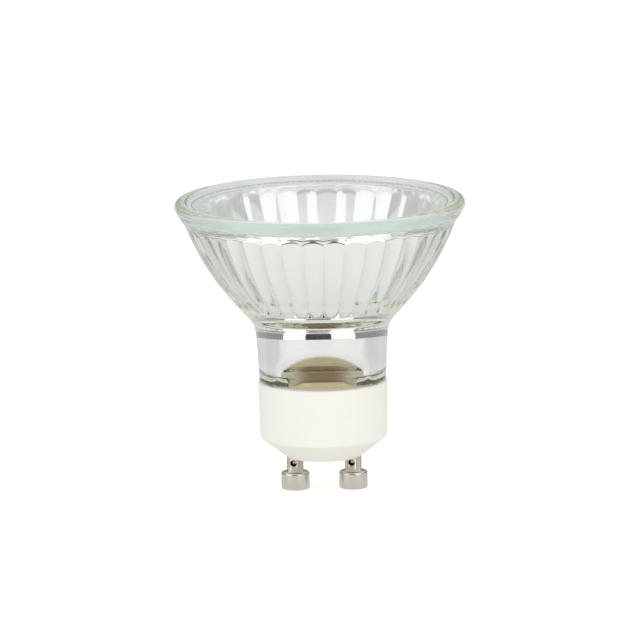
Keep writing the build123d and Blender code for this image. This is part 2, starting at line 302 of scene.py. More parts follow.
def groove(across):
    """Share of the full depth across a flute: a parabola, 0 at the crest and 1 at the
    groove, with the sharp meeting of two flutes slightly rounded."""
    away = 1 - np.abs(across)
    away = np.sqrt(away**2 + GROOVE_ROUND**2) - GROOVE_ROUND
    return (1 - away) ** 2


GROOVE = groove(ACROSS)


def fluted(z, inset):
    """Fluted bowl: crest line less the groove, which fades out towards the smooth band."""
    fade = np.clip((z - Z_FLUTE) / FLUTE_FADE, 0, 1)
    fade = fade * fade * (3 - 2 * fade)
    return bowl_radius(z, inset) - FLUTE_DEPTH * fade * GROOVE


def faceted(z):
    """Inside of the bowl: crest line less a bulge that is widest in the middle of each
    facet, a parabola across it, fading in above the smooth bottom."""
    fade = np.clip((z - Z_FLUTE - BOWL_WALL / 2) / FLUTE_FADE, 0, 1)
    return bowl_radius(z, BOWL_WALL) - FACET_BULGE * fade * (1 - ACROSS**2)


def flat_radius(z, distance=FLAT_D, z_corner=Z_FLAT):
    """Distance from the axis to the flats: upright at the foot, then slanting out at 45
    degrees; divided by the sine of the column's angle it is a plane."""
    rise = z - z_corner
    out = distance + 0.5 * (rise + np.sqrt(rise**2 + FLAT_CORNER**2))
    return out / np.maximum(np.abs(np.sin(THETA)), 0.05)


def neck_radius(z):
    """Tapered neck: a straight line from its foot to the shoulder."""
    return NECK_FOOT_R + NECK_TAPER * (z - Z_BASE_TOP) / NECK_HEIGHT


COLLAR_ROOT = (
    bowl_radius(Z_BOWL_TOP - COLLAR_OVERLAP) - 1.5 * FLUTE_DEPTH,
    Z_BOWL_TOP - COLLAR_OVERLAP,
)
BEAD_C = (RIM_R - RIM_EDGE, Z_RIM_TOP - RIM_EDGE)
BEAD_LOW = (
    BEAD_C[0] + RIM_EDGE * math.cos(math.radians(BEAD_LOW_ANGLE)),
    BEAD_C[1] - RIM_EDGE * math.sin(math.radians(BEAD_LOW_ANGLE)),
)
RIM_LOW = (RIM_R - RIM_SIDE_INSET, Z_RIM_TOP - RIM_SIDE_HEIGHT)


def collar_radius(z):
    """Rim below its bead: a steep side, then a slanting underside down to the bowl; both
    are cones, and the smaller of the two counts."""
    side_slope = (BEAD_LOW[0] - RIM_LOW[0]) / (BEAD_LOW[1] - RIM_LOW[1])
    under_slope = (RIM_LOW[0] - COLLAR_ROOT[0]) / (RIM_LOW[1] - COLLAR_ROOT[1])
    side = RIM_LOW[0] + (z - RIM_LOW[1]) * side_slope
    underside = RIM_LOW[0] + (z - RIM_LOW[1]) * under_slope
    return soft_min(side, underside, RIM_SIDE_EDGE)


def outer_radius(z):
    """Outside of the glass from the neck up: neck or bowl, whichever is larger, cut by the
    flats, and covered by the collar near the rim."""
    body = soft_max(neck_radius(z), fluted(z, 0.0), SHOULDER_BLEND)
    body = soft_min(body, flat_radius(z), FLAT_EDGE)
    return soft_max(body, collar_radius(z), COLLAR_BLEND)


def bore_radius(z):
    """Round bore: upright in the foot, out over a slightly sloping ledge, then straight up
    to the throat."""
    slope = (THROAT_R - BORE_R) / NECK_LEDGE_RISE
    ledge = soft_max(BORE_R + (z - Z_LEDGE) * slope, BORE_R + 0 * z, LEDGE_EDGE)
    return soft_min(ledge, THROAT_R, LEDGE_EDGE)


def inner_radius(z):
    """Inside of the glass: bore with a flat behind each outer flat, faceted bowl, and
    upright band under the cover glass."""
    flats = flat_radius(z, BORE_FLAT_D, Z_FLAT + FOOT_WALL * (math.sqrt(2) - 1))
    neck = soft_min(bore_radius(z), flats, FLAT_EDGE)
    bowl = soft_max(neck, faceted(z), THROAT_EDGE)
    return soft_min(bowl, BAND_R, BAND_BLEND)


def crossing(radius_a, radius_b, z_low, z_high):
    """Height of each column at which one radius overtakes another, by halving."""
    low = np.full(THETA.shape, z_low)
    high = np.full(THETA.shape, z_high)
    for _ in range(40):
        middle = (low + high) / 2
        below = radius_a(middle) > radius_b(middle)
        low = np.where(below, middle, low)
        high = np.where(below, high, middle)
    return (low + high) / 2


def rows_between(low, high, count, ends=(True, True)):
    """Evenly spaced heights of each column from one height to another."""
    share = np.linspace(0, 1, count)[:, None]
    share = share[0 if ends[0] else 1 : None if ends[1] else -1]
    return low + share * (high - low) + 0 * THETA


def on_surface(radius, heights):
    """Rows of radius and height where a surface has the heights given."""
    return np.array([(radius(z), z) for z in heights])


def along(points):
    """Rows of constant radius and height through points of an outline."""
    return np.array([(r + 0 * THETA, z + 0 * THETA) for r, z in points])


def arc_points(centre, radius, start, end, count):
    """Points of an arc about a centre, from one angle to another in degrees."""
    angles = np.radians(np.linspace(start, end, count))
    return [(centre[0] + radius * np.cos(a), centre[1] + radius * np.sin(a)) for a in angles]


def build_mesh(name, vertices, faces):
    """Mesh object from a vertex array and an array of quads, smooth all over."""
    mesh = bpy.data.meshes.new(name)
    mesh.vertices.add(len(vertices))
    mesh.vertices.foreach_set("co", np.asarray(vertices, dtype=np.float32).ravel())
    mesh.loops.add(faces.size)
    mesh.loops.foreach_set("vertex_index", faces.astype(np.int32).ravel())
    mesh.polygons.add(len(faces))
    starts = np.arange(len(faces), dtype=np.int32) * faces.shape[1]
    mesh.polygons.foreach_set("loop_start", starts)
    mesh.polygons.foreach_set("loop_total", np.full(len(faces), faces.shape[1], dtype=np.int32))
    mesh.polygons.foreach_set("use_smooth", np.ones(len(faces), dtype=bool))
    mesh.update(calc_edges=True)
    mesh.validate()
    piece = bpy.data.objects.new(name, mesh)
    bpy.context.scene.collection.objects.link(piece)
    return piece


def grid_faces(rows, columns, close_rows):
    """Quads of a grid that closes round its columns, and round its rows if asked."""
    row = np.arange(rows if close_rows else rows - 1)[:, None]
    column = np.arange(columns)[None, :]
    next_row = (row + 1) % rows
    next_column = (column + 1) % columns
    corners = [
        row * columns + column,
        row * columns + next_column,
        next_row * columns + next_column,
        next_row * columns + column,
    ]
    corners = [np.broadcast_to(c, (len(row), columns)) for c in corners]
    return np.stack(corners, axis=-1).reshape(-1, 4)


def ring_piece(name, rows, theta):
    """Closed ring about Z from rows of radius and height, one value for each angle."""
    r, z = rows[:, 0], rows[:, 1]
    vertices = np.stack([r * np.cos(theta), r * np.sin(theta), z], axis=-1).reshape(-1, 3)
    return build_mesh(name, vertices, grid_faces(len(rows), len(theta), True))


def turned_piece(name, outline, segments=192, centre=(0.0, 0.0)):
    """Solid of revolution: an outline of radius and height whose two ends are poles on
    the axis, carried round the axis."""
    theta = np.arange(segments) * 2 * math.pi / segments
    points = np.array(outline[1:-1])
    x = centre[0] + points[:, :1] * np.cos(theta)
    y = centre[1] + points[:, :1] * np.sin(theta)
    z = points[:, 1:] + 0 * theta
    body = np.stack([x, y, z], axis=-1).reshape(-1, 3)
    poles = [(centre[0], centre[1], outline[0][1]), (centre[0], centre[1], outline[-1][1])]
    vertices = np.vstack([body, poles])
    quads = grid_faces(len(points), segments, False)
    column = np.arange(segments)
    after = (column + 1) % segments
    first, last = len(body), len(body) + 1
    top = (len(points) - 1) * segments
    start_fan = np.stack([np.full(segments, first), after, column], axis=-1)
    end_fan = np.stack([top + column, top + after, np.full(segments, last)], axis=-1)
    return join_faces(name, vertices, quads, np.vstack([start_fan, end_fan]))


def join_faces(name, vertices, quads, triangles):
    """Mesh object from quads and triangles together."""
    mesh = bpy.data.meshes.new(name)
    faces = quads.tolist() + triangles.tolist()
    mesh.from_pydata(np.asarray(vertices).tolist(), [], faces)
    mesh.polygons.foreach_set("use_smooth", np.ones(len(faces), dtype=bool))
    mesh.update(calc_edges=True)
    piece = bpy.data.objects.new(name, mesh)
    bpy.context.scene.collection.objects.link(piece)
    return piece


def smooth_copy(node):
    """Copy of a frame node with its loose triangles merged, and smooth between its sharp
    edges, that stands for the node."""
    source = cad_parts[node]
    mesh = source.data.copy()
    mesh.materials.clear()
    piece = bpy.data.objects.new(node + "_finished", mesh)
    bpy.context.scene.collection.objects.link(piece)
    work = bmesh.new()
    work.from_mesh(mesh)
    bmesh.ops.remove_doubles(work, verts=work.verts, dist=MERGE_DISTANCE)
    work.to_mesh(mesh)
    work.free()
    mesh.polygons.foreach_set("use_smooth", np.ones(len(mesh.polygons), dtype=bool))
    mesh.set_sharp_from_angle(angle=math.radians(SHARP_ANGLE))
    if mesh.attributes.get("custom_normal"):
        mesh.attributes.remove(mesh.attributes["custom_normal"])
    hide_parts(node)
    return piece


# Pieces

def glass_outside():
    """Rows of the glass from the foot's underside up the outside to the rim's bead."""
    edge = FOOT_EDGE
    foot_radius = soft_min(FOOT_R + 0 * THETA, flat_radius(Z_FOOT) - FOOT_GAP, FLAT_EDGE)
    foot_rows = [
        (inner_radius(Z_FOOT) + edge, Z_FOOT + 0 * THETA),
        (foot_radius - edge, Z_FOOT + 0 * THETA),
        (foot_radius, Z_FOOT + edge + 0 * THETA),
        (foot_radius, (Z_FOOT + Z_BASE_TOP) / 2 + 0 * THETA),
        (foot_radius, Z_BASE_TOP - edge + 0 * THETA),
        (foot_radius, Z_BASE_TOP + LENS_SEAT_GAP + 0 * THETA),
    ]
    neck_low = rows_between(Z_BASE_TOP + LENS_SEAT_GAP, Z_SHOULDER - 1.5 * MM, 34)
    neck_top = rows_between(Z_SHOULDER - 1.5 * MM, Z_FLUTE, 16, (False, True))
    meet = crossing(fluted_outside, collar_radius, Z_BOWL_TOP - COLLAR_OVERLAP, BEAD_LOW[1])
    flutes = rows_between(Z_FLUTE, meet - 0.6 * MM, 24, (False, True))
    near = [meet + step * MM for step in COLLAR_STEPS]
    collar = rows_between(meet + 0.5 * MM, BEAD_LOW[1], 16)
    heights = np.concatenate([neck_low, neck_top, flutes, near, collar])
    return [
        np.array(foot_rows),
        on_surface(outer_radius, heights),
        along(arc_points(BEAD_C, RIM_EDGE, -4, 90, 11)),
    ]


def fluted_outside(z):
    """Fluted bowl at its full radius, with no wall taken off."""
    return fluted(z, 0.0)


def inside_heights():
    """Heights of the inside's rows, from the plain band down to the foot's bore."""
    meet = crossing(lambda z: BAND_R + 0 * THETA, faceted, Z_BAND - 0.5 * MM, Z_LENS)
    band = rows_between(Z_LENS - 0.1 * MM, meet + 0.3 * MM, 4)
    near = [meet + step * MM for step in BAND_STEPS]
    facets = rows_between(meet - 0.35 * MM, Z_FLUTE, 20)
    bottom = rows_between(Z_FLUTE, Z_THROAT + 0.8 * MM, 8, (False, True))
    throat = rows_between(Z_THROAT + 0.6 * MM, Z_THROAT - 0.8 * MM, 8)
    neck = rows_between(Z_THROAT - 1.2 * MM, Z_LEDGE + NECK_LEDGE_RISE + 0.1 * MM, 24)
    ledge = rows_between(Z_LEDGE + NECK_LEDGE_RISE, Z_LEDGE - 0.2 * MM, 10)
    bore = rows_between(Z_BASE_TOP, Z_FOOT + FOOT_EDGE, 5)
    return np.concatenate([band, near, facets, bottom, throat, neck, ledge, bore])


def reflector_glass():
    """Pressed glass: a closed ring whose rows run up the outside and down the inside."""
    inner_c = (LENS_SEAT_R + RIM_INNER_EDGE, Z_RIM_TOP - RIM_INNER_EDGE)
    seat = [
        (LENS_SEAT_R + LENS_SEAT_GAP, Z_LENS + SEAT_DEPTH),
        (LENS_SEAT_R + LENS_SEAT_GAP, Z_LENS + SEAT_EDGE),
        (LENS_SEAT_R - SEAT_EDGE, Z_LENS - LENS_SEAT_GAP),
        (BAND_R + SEAT_EDGE, Z_LENS - LENS_SEAT_GAP),
    ]
    rows = glass_outside()
    rows.append(along(arc_points(inner_c, RIM_INNER_EDGE, 90, 180, 8)))
    rows.append(along(seat))
    rows.append(on_surface(inner_radius, inside_heights()))
    piece = ring_piece("reflector_glass", np.concatenate(rows), THETA)
    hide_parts("reflector")
    return piece


def film_end():
    """Lower edge of the film: just inside the base, and higher behind the flats."""
    behind = np.clip((np.abs(np.sin(THETA)) - FLAT_SHARE) / FLAT_FADE, 0, 1)
    low = Z_BASE_TOP - FILM_DEPTH
    return low + behind * (Z_BORE_CEMENT - low)


def mirror_film():
    """Film on the inside of the glass: the glass's inner rows, down to the film's lower
    edge, moved in by a small gap, and again by the film's thickness for the way back, so
    that it is a closed skin."""
    end = film_end()
    wanted = [z for z in inside_heights()[1:] if np.mean(z) > Z_FOOT + FOOT_MARGIN]
    heights = [np.maximum(z, end) for z in wanted]
    near = on_surface(inner_radius, heights)
    near[:, 0] -= FILM_GAP
    far = near.copy()
    far[:, 0] -= FILM_THICKNESS
    rows = np.concatenate([near, far[::-1]])
    return ring_piece("mirror_film", rows[::-1], THETA)


def cement_collar():
    """Cement in the cup: a ring between the foot and the wall, level at the wall and risen
    against the glass at the flats, with an uneven top."""
    across = np.linspace(0, 1, 9)[:, None]
    inner = soft_min(FOOT_R + 0 * THETA, flat_radius(Z_BASE_TOP) - FOOT_GAP, FLAT_EDGE) - 2 * FOOT_GAP
    outer = CUP_R - COLLAR_CEMENT_GAP
    gap = outer - inner
    rise = CEMENT_HIGH[2] - CEMENT_LOW[2]
    wide = np.clip(gap / MM - 0.6, 0, 1)
    top = Z_BASE_TOP + (CEMENT_HIGH[2] - Z_BASE_TOP) * (1 - across) ** CEMENT_CURVE * wide
    waves = np.sin(23 * THETA + 9 * across) * np.sin(41 * THETA + 5)
    lumps = CEMENT_LUMPS * waves * np.sin(math.pi * across)
    radius = inner + across * gap
    upper = np.stack([radius, top + lumps - CEMENT_SAG * across], axis=1)
    lower = np.stack([radius[::-1], CEMENT_LOW[2] + 0 * radius], axis=1)
    walls = np.linspace(0.15, 0.85, 4)[:, None]
    z_in = CEMENT_LOW[2] + walls * rise * 0.8
    z_out = Z_BASE_TOP - 0.1 * MM - walls * rise * 0.7
    wall_in = np.stack([inner + 0 * walls, z_in + 0 * THETA], axis=1)
    wall_out = np.stack([outer + 0 * walls + 0 * THETA, z_out + 0 * THETA], axis=1)
    rows = np.concatenate([wall_in, upper, wall_out, lower])
    piece = ring_piece("cement_collar", rows[::-1], THETA)
    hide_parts("base_cement")
    return piece


def bore_cement():
    """Cement in the foot's bore: the bore's own outline, closed above and below. It goes
    very slightly into the glass, so that it shows as bonded to it, but stays inside the
    film where there is film."""
    low = Z_BORE_CEMENT - BORE_CEMENT_HEIGHT
    heights = rows_between(low, Z_BORE_CEMENT, 24)
    end = film_end()
    wall = []
    for z in heights:
        out = np.where(z < end - 0.01 * MM, FOOT_GAP, -4 * FILM_GAP)
        wall.append((inner_radius(z) + out, z))
    share = np.linspace(0.95, 0.02, 8)[:, None]
    top = np.stack([share * wall[-1][0], Z_BORE_CEMENT + 0 * share * THETA], axis=1)
    bottom = np.stack([share[::-1] * wall[0][0], low + 0 * share * THETA], axis=1)
    piece = ring_piece("bore_cement", np.concatenate([np.array(wall), top, bottom]), THETA)
    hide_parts("burner_cement")
    return piece


def ceramic_cup():
    """Ceramic base: outline of the bevelled cup with rounded edges, turned about Z."""
    z_bevel = BASE_LOW[2] + BEVEL_HEIGHT
    bottom_r = PIN_SPACING / 2 + PIN_MARGIN
    bevel_r = BASE_R - BASE_DRAFT
    slope = math.degrees(math.atan2(BEVEL_HEIGHT, bevel_r - bottom_r))
    z_draft = z_bevel + DRAFT_HEIGHT
    outline = [(0.0, BASE_LOW[2])]
    foot, bevel, draft = (bottom_r, BASE_LOW[2]), (bevel_r, z_bevel), (BASE_R, z_draft)
    outer_top, inner_top = (BASE_R, Z_BASE_TOP), (CUP_R, Z_BASE_TOP)
    outline += rounded_corner((0, BASE_LOW[2]), foot, bevel, CERAMIC_EDGE)
    outline += rounded_corner(foot, bevel, draft, CERAMIC_EDGE)
    outline += [draft]
    outline += rounded_corner(draft, outer_top, inner_top, CERAMIC_EDGE)
    outline += rounded_corner(outer_top, inner_top, (CUP_R, z_bevel), CERAMIC_EDGE / 3)
    z_floor = BASE_LOW[2] + BASE_FLOOR
    floor_r = PIN_SPACING / 2 + FLARE_R + 0.2 * MM
    z_wall = z_floor + (CUP_R - floor_r) / math.tan(math.radians(90 - slope))
    outline += [(CUP_R, z_wall), (floor_r, z_floor), (0.0, z_floor)]
    piece = turned_piece("ceramic_cup", outline)
    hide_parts("ceramic_base")
    return piece


def rounded_corner(before, corner, after, radius, count=6):
    """Points of an arc that rounds one corner of an outline: tangent to both sides."""
    corner_v, before_v, after_v = (Vector(p) for p in (corner, before, after))
    to_before = (before_v - corner_v).normalized()
    to_after = (after_v - corner_v).normalized()
    half = to_before.angle(to_after) / 2
    middle = corner_v + (to_before + to_after).normalized() * (radius / math.sin(half))
    start = corner_v + to_before * (radius / math.tan(half)) - middle
    end = corner_v + to_after * (radius / math.tan(half)) - middle
    points = []
    for share in np.linspace(0, 1, count):
        spoke = (start * (1 - share) + end * share).normalized() * radius
        points.append(tuple(middle + spoke))
    return points


def cover_glass():
    """Flat disc with small bevels; rings close to each bevel keep the faces flat."""
    radius, low, high = LENS_HIGH[0], LENS_LOW[2], LENS_HIGH[2]
    b = LENS_BEVEL
    outline = [(0.0, low), (radius - 4 * b, low), (radius - 1.5 * b, low), (radius - b, low)]
    outline += [(radius, low + b), (radius, high - b)]
    outline += [(radius - b, high), (radius - 1.5 * b, high), (radius - 4 * b, high), (0.0, high)]
    piece = turned_piece("cover_glass", outline)
    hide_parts("front_lens")
    return piece


def coil():
    """Filament: a round wire carried along a helix on the axis, closed at both ends by a
    taper."""
    around, per_turn = 10, 20
    coil_r = (COIL_HIGH[0] - COIL_LOW[0]) / 2 - COIL_SIDE_GAP
    along_wire = np.linspace(0, 1, COIL_TURNS * per_turn + 1)[:, None]
    around_wire = np.arange(around) * 2 * math.pi / around
    turn = along_wire * COIL_TURNS * 2 * math.pi
    from_end = np.minimum(along_wire, 1 - along_wire)
    taper = np.clip(from_end * TAPER_STEEPNESS + WIRE_END_SHARE, 0, 1)
    reach = coil_r + WIRE_R * taper * np.cos(around_wire)
    z_low, z_high = COIL_LOW[2] + COIL_END_GAP, COIL_HIGH[2] - COIL_END_GAP
    z = z_low + along_wire * (z_high - z_low) + WIRE_R * taper * np.sin(around_wire)
    vertices = np.stack([reach * np.cos(turn), reach * np.sin(turn), z], axis=-1).reshape(-1, 3)
    rows = len(along_wire)
    quads = grid_faces(rows, around, False)[:, ::-1]
    poles = [vertices[:around].mean(axis=0), vertices[-around:].mean(axis=0)]
    vertices = np.vstack([vertices, poles])
    column = np.arange(around)
    after = (column + 1) % around
    top = (rows - 1) * around
    start_fan = np.stack([column, after, np.full(around, rows * around)], axis=-1)
    end_fan = np.stack([top + after, top + column, np.full(around, rows * around + 1)], axis=-1)
    piece = join_faces("filament_coil", vertices, quads, np.vstack([start_fan, end_fan]))
    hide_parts("filament")
    return piece


# Materials

def new_material(name):
    """Material with an empty node tree, its output and a Principled shader."""
    material = bpy.data.materials.new(name)
    material.use_nodes = True
    tree = material.node_tree
    tree.nodes.clear()
    output = tree.nodes.new("ShaderNodeOutputMaterial")
    shader = tree.nodes.new("ShaderNodeBsdfPrincipled")
    tree.links.new(shader.outputs["BSDF"], output.inputs["Surface"])
    return material, tree, shader


def set_values(node, **values):
    """Sets a node's sockets by name, with _ in place of a space."""
    for key, value in values.items():
        node.inputs[key.replace("_", " ")].default_value = value


def node_group(name, inputs, outputs):
    """Shader node group with float or colour sockets: {name: default}."""
    group = bpy.data.node_groups.new(name, "ShaderNodeTree")
    for direction, sockets in (("INPUT", inputs), ("OUTPUT", outputs)):
        for socket, default in sockets.items():
            kind = "NodeSocketColor" if isinstance(default, tuple) else "NodeSocketFloat"
            made = group.interface.new_socket(socket, in_out=direction, socket_type=kind)
            if direction == "INPUT":
                made.default_value = default
    start = group.nodes.new("NodeGroupInput")
    end = group.nodes.new("NodeGroupOutput")
    return group, start, end


def add_noise(group, scale, detail, stretch=(1.0, 1.0, 1.0)):
    """Noise on Object coordinates, with each axis stretched."""
    place = group.nodes.new("ShaderNodeTexCoord")
    mapping = group.nodes.new("ShaderNodeMapping")
    mapping.inputs["Scale"].default_value = stretch
    noise = group.nodes.new("ShaderNodeTexNoise")
    noise.inputs["Detail"].default_value = detail
    if isinstance(scale, (int, float)):
        noise.inputs["Scale"].default_value = scale
    else:
        group.links.new(scale, noise.inputs["Scale"])
    group.links.new(place.outputs["Object"], mapping.inputs["Vector"])
    group.links.new(mapping.outputs["Vector"], noise.inputs["Vector"])
    return noise


def uneven_group():
    """Slow change of tone and of height over a surface: two colours mixed by noise."""
    group, start, end = node_group(
        "uneven_surface",
        {
            "Colour": (0.8, 0.8, 0.8, 1),
            "Other Colour": (0.7, 0.7, 0.7, 1),
            "Scale": 400.0,
            "Share": 0.5,
        },
        {"Colour": (0, 0, 0, 1), "Height": 0.0},
    )
    noise = add_noise(group, start.outputs["Scale"], 4.0)
    share = group.nodes.new("ShaderNodeMath")
    share.operation = "MULTIPLY"
    mix = group.nodes.new("ShaderNodeMix")
    mix.data_type = "RGBA"
    group.links.new(noise.outputs["Fac"], share.inputs[0])
    group.links.new(start.outputs["Share"], share.inputs[1])
    group.links.new(share.outputs["Value"], mix.inputs["Factor"])
    group.links.new(start.outputs["Colour"], mix.inputs["A"])
    group.links.new(start.outputs["Other Colour"], mix.inputs["B"])
    group.links.new(mix.outputs["Result"], end.inputs["Colour"])
    group.links.new(noise.outputs["Fac"], end.inputs["Height"])
    return group


def add_uneven(tree, colour, other, scale, share):
    """Puts the uneven tone into a material; gives back its node."""
    node = tree.nodes.new("ShaderNodeGroup")
    node.node_tree = UNEVEN
    set_values(node, Colour=(*colour, 1), Other_Colour=(*other, 1), Scale=scale, Share=share)
    return node


def add_bump(tree, height, shader, distance, strength=1.0):
    """Bump from a height socket, as deep as the distance, on the shader's normal."""
    bump = tree.nodes.new("ShaderNodeBump")
    set_values(bump, Strength=strength, Distance=distance)
    tree.links.new(height, bump.inputs["Height"])
    tree.links.new(bump.outputs["Normal"], shader.inputs["Normal"])
    return bump


def plain_finish(name, colour, other, scale=500.0, share=0.6, bump=0.0, **values):
    """Material of one finish: two near tones mixed by noise, with a bump of that depth."""
    material, tree, shader = new_material(name)
    set_values(shader, **values)
    tone = add_uneven(tree, colour, other, scale, share)
    tree.links.new(tone.outputs["Colour"], shader.inputs["Base Color"])
    if bump:
        add_bump(tree, tone.outputs["Height"], shader, bump)
    return material


def pressed_glass():
    """Clear glass, faintly olive where it is thick, with the ripple of pressed glass."""
    material, tree, shader = new_material("pressed_glass")
    set_values(shader, Transmission_Weight=1.0, IOR=GLASS_IOR, Roughness=0.0)
    set_values(shader, Base_Color=(1, 1, 1, 1))
    ripple = add_uneven(tree, (1, 1, 1), (1, 1, 1), GLASS_RIPPLE_SCALE, 0.0)
    add_bump(tree, ripple.outputs["Height"], shader, GLASS_RIPPLE_DEPTH)
    absorb = tree.nodes.new("ShaderNodeVolumeAbsorption")
    set_values(absorb, Color=GLASS_DEPTH_COLOUR, Density=GLASS_DENSITY)
    output = next(n for n in tree.nodes if n.type == "OUTPUT_MATERIAL")
    tree.links.new(absorb.outputs["Volume"], output.inputs["Volume"])
    return material


def clear_glass(name, colour, ior):
    """Clear, smooth glass with a faint tint."""
    material, tree, shader = new_material(name)
    set_values(shader, Transmission_Weight=1.0, IOR=ior, Roughness=0.0)
    tone = add_uneven(tree, colour, colour, 300.0, 0.2)
    tree.links.new(tone.outputs["Colour"], shader.inputs["Base Color"])
    return material


def bore_cement_with_painted_shade():
    """Cement around the burner: brown in the middle as painted shade for the burner's pinch and
    wires, and cream towards both sides; the change depends on the distance from the YZ plane."""
    material, tree, shader = new_material("bore_cement_with_painted_shade")
    set_values(shader, Roughness=0.9)
    place = tree.nodes.new("ShaderNodeTexCoord")
    split = tree.nodes.new("ShaderNodeSeparateXYZ")
    tree.links.new(place.outputs["Object"], split.inputs["Vector"])
    ramp = tree.nodes.new("ShaderNodeMapRange")
    ramp.interpolation_type = "SMOOTHSTEP"
    set_values(ramp, From_Min=PAINTED_SHADE_REACH[0], From_Max=PAINTED_SHADE_REACH[1])
    tree.links.new(math_node(tree, "ABSOLUTE", split.outputs["X"]), ramp.inputs["Value"])
    # Painted shade: the middle is brown for the shadow of the burner's pinch and wires
    middle = add_uneven(tree, PAINTED_SHADE_CEMENT, PAINTED_SHADE_CEMENT_DULL, 700.0, 0.9)
    sides = add_uneven(tree, OUTER_CEMENT, OUTER_DULL, 700.0, 0.9)
    mix = tree.nodes.new("ShaderNodeMix")
    mix.data_type = "RGBA"
    tree.links.new(ramp.outputs["Result"], mix.inputs["Factor"])
    tree.links.new(middle.outputs["Colour"], mix.inputs["A"])
    tree.links.new(sides.outputs["Colour"], mix.inputs["B"])
    tree.links.new(mix.outputs["Result"], shader.inputs["Base Color"])
    add_bump(tree, middle.outputs["Height"], shader, 0.05 * MM)
    return material


def pin_metal():
    """Nickel plate outside, and inside the bore a copper tone darkened as painted shade of the
    hollow: the tone depends on the distance from the pin's own axis."""
    material, tree, shader = new_material("nickel_plate")
    set_values(shader, Metallic=1.0, Roughness=0.24)
    place = tree.nodes.new("ShaderNodeTexCoord")
    split = tree.nodes.new("ShaderNodeSeparateXYZ")
    tree.links.new(place.outputs["Object"], split.inputs["Vector"])
    aside = math_node(tree, "ABSOLUTE", split.outputs["X"])
    beside = math_node(tree, "SUBTRACT", aside, PIN_SPACING / 2)
    beside_squared = math_node(tree, "POWER", beside, 2.0)
    ahead_squared = math_node(tree, "POWER", split.outputs["Y"], 2.0)
    squares = math_node(tree, "ADD", beside_squared, ahead_squared)
    inside = math_node(tree, "LESS_THAN", squares, (PIN_BORE_R + 0.12 * MM) ** 2)
    below = math_node(tree, "LESS_THAN", split.outputs["Z"], BASE_LOW[2])
    bore = math_node(tree, "MULTIPLY", inside, below)
    plate = add_uneven(tree, NICKEL, NICKEL_DULL, 900.0, 0.8)
    mix = tree.nodes.new("ShaderNodeMix")
    mix.data_type = "RGBA"
    tree.links.new(bore, mix.inputs["Factor"])
    tree.links.new(plate.outputs["Colour"], mix.inputs["A"])
    # Painted shade: the bore is painted dark copper for the shade inside the hollow pin
    mix.inputs["B"].default_value = (*COPPER_IN_PAINTED_SHADE, 1)
    tree.links.new(mix.outputs["Result"], shader.inputs["Base Color"])
    lines = add_noise(tree, 900.0, 2.0, (0.1, 0.1, 3.0))
    add_bump(tree, lines.outputs["Fac"], shader, 0.006 * MM)
    return material


def math_node(tree, operation, first, second=None):
    """Math node on sockets or plain numbers; gives back its output."""
    node = tree.nodes.new("ShaderNodeMath")
    node.operation = operation
    for index, value in enumerate((first, second)):
        if value is None:
            continue
        if isinstance(value, (int, float)):
            node.inputs[index].default_value = value
        else:
            tree.links.new(value, node.inputs[index])
    return node.outputs["Value"]


def dress(piece, material):
    """Gives a piece its material, and puts it on the one body."""
    piece.data.materials.clear()
    piece.data.materials.append(material)
    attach(piece, "root")


# Setting

def studio_world():
    """White all round for the camera. Glass and metal see a pale studio: two bright boxes
    at the front left and right, a dark gap between them, a dim band near the floor, and a
    light grey that is paler overhead. Matt surfaces behind glass get an even light from
    all sides."""
    world = bpy.data.worlds.new("studio")
    bpy.context.scene.world = world
    world.use_nodes = True
    tree = world.node_tree
    tree.nodes.clear()
    place = tree.nodes.new("ShaderNodeTexCoord")
    split = tree.nodes.new("ShaderNodeSeparateXYZ")
    tree.links.new(place.outputs["Generated"], split.inputs["Vector"])
    front = math_node(tree, "MULTIPLY", split.outputs["Y"], -1.0)
    turn = math_node(tree, "ARCTAN2", split.outputs["X"], front)
    rise = math_node(tree, "ARCSINE", split.outputs["Z"])

    def patch(turn_low, turn_high, rise_low, rise_high):
        """1 inside a window of the sky, in degrees, with soft edges."""
        edges = [
            (turn, turn_low, turn_low + SOFT_EDGE),
            (turn, turn_high, turn_high - SOFT_EDGE),
            (rise, rise_low, rise_low + SOFT_EDGE),
            (rise, rise_high, rise_high - SOFT_EDGE),
        ]
        result = None
        for value, start, end in edges:
            ramp = tree.nodes.new("ShaderNodeMapRange")
            ramp.inputs["From Min"].default_value = math.radians(start)
            ramp.inputs["From Max"].default_value = math.radians(end)
            tree.links.new(value, ramp.inputs["Value"])
            share = ramp.outputs["Result"]
            result = share if result is None else math_node(tree, "MULTIPLY", result, share)
        return result

    level = math_node(tree, "ADD", SKY_GREY, 0.0)
    for window, brightness in STUDIO_WINDOWS:
        change = math_node(tree, "SUBTRACT", brightness, level)
        level = math_node(tree, "ADD", level, math_node(tree, "MULTIPLY", change, patch(*window)))
    path = tree.nodes.new("ShaderNodeLightPath")
    mirrored, refracted = path.outputs["Is Glossy Ray"], path.outputs["Is Transmission Ray"]
    seen = math_node(tree, "MAXIMUM", mirrored, refracted)
    matt = math_node(tree, "GREATER_THAN", path.outputs["Diffuse Depth"], 0.5)
    level = mix_value(tree, matt, level, SKY_INSIDE)
    strength = mix_value(tree, seen, SKY_DIFFUSE, level)
    strength = mix_value(tree, path.outputs["Is Camera Ray"], strength, 1.0)
    background = tree.nodes.new("ShaderNodeBackground")
    output = tree.nodes.new("ShaderNodeOutputWorld")
    tree.links.new(strength, background.inputs["Strength"])
    tree.links.new(background.outputs["Background"], output.inputs["Surface"])


def mix_value(tree, factor, first, second):
    """First value where the factor is 0, second where it is 1."""
    node = tree.nodes.new("ShaderNodeMix")
    for socket, value in (("Factor", factor), ("A", first), ("B", second)):
        if isinstance(value, (int, float)):
            node.inputs[socket].default_value = value
        else:
            tree.links.new(value, node.inputs[socket])
    return node.outputs["Result"]


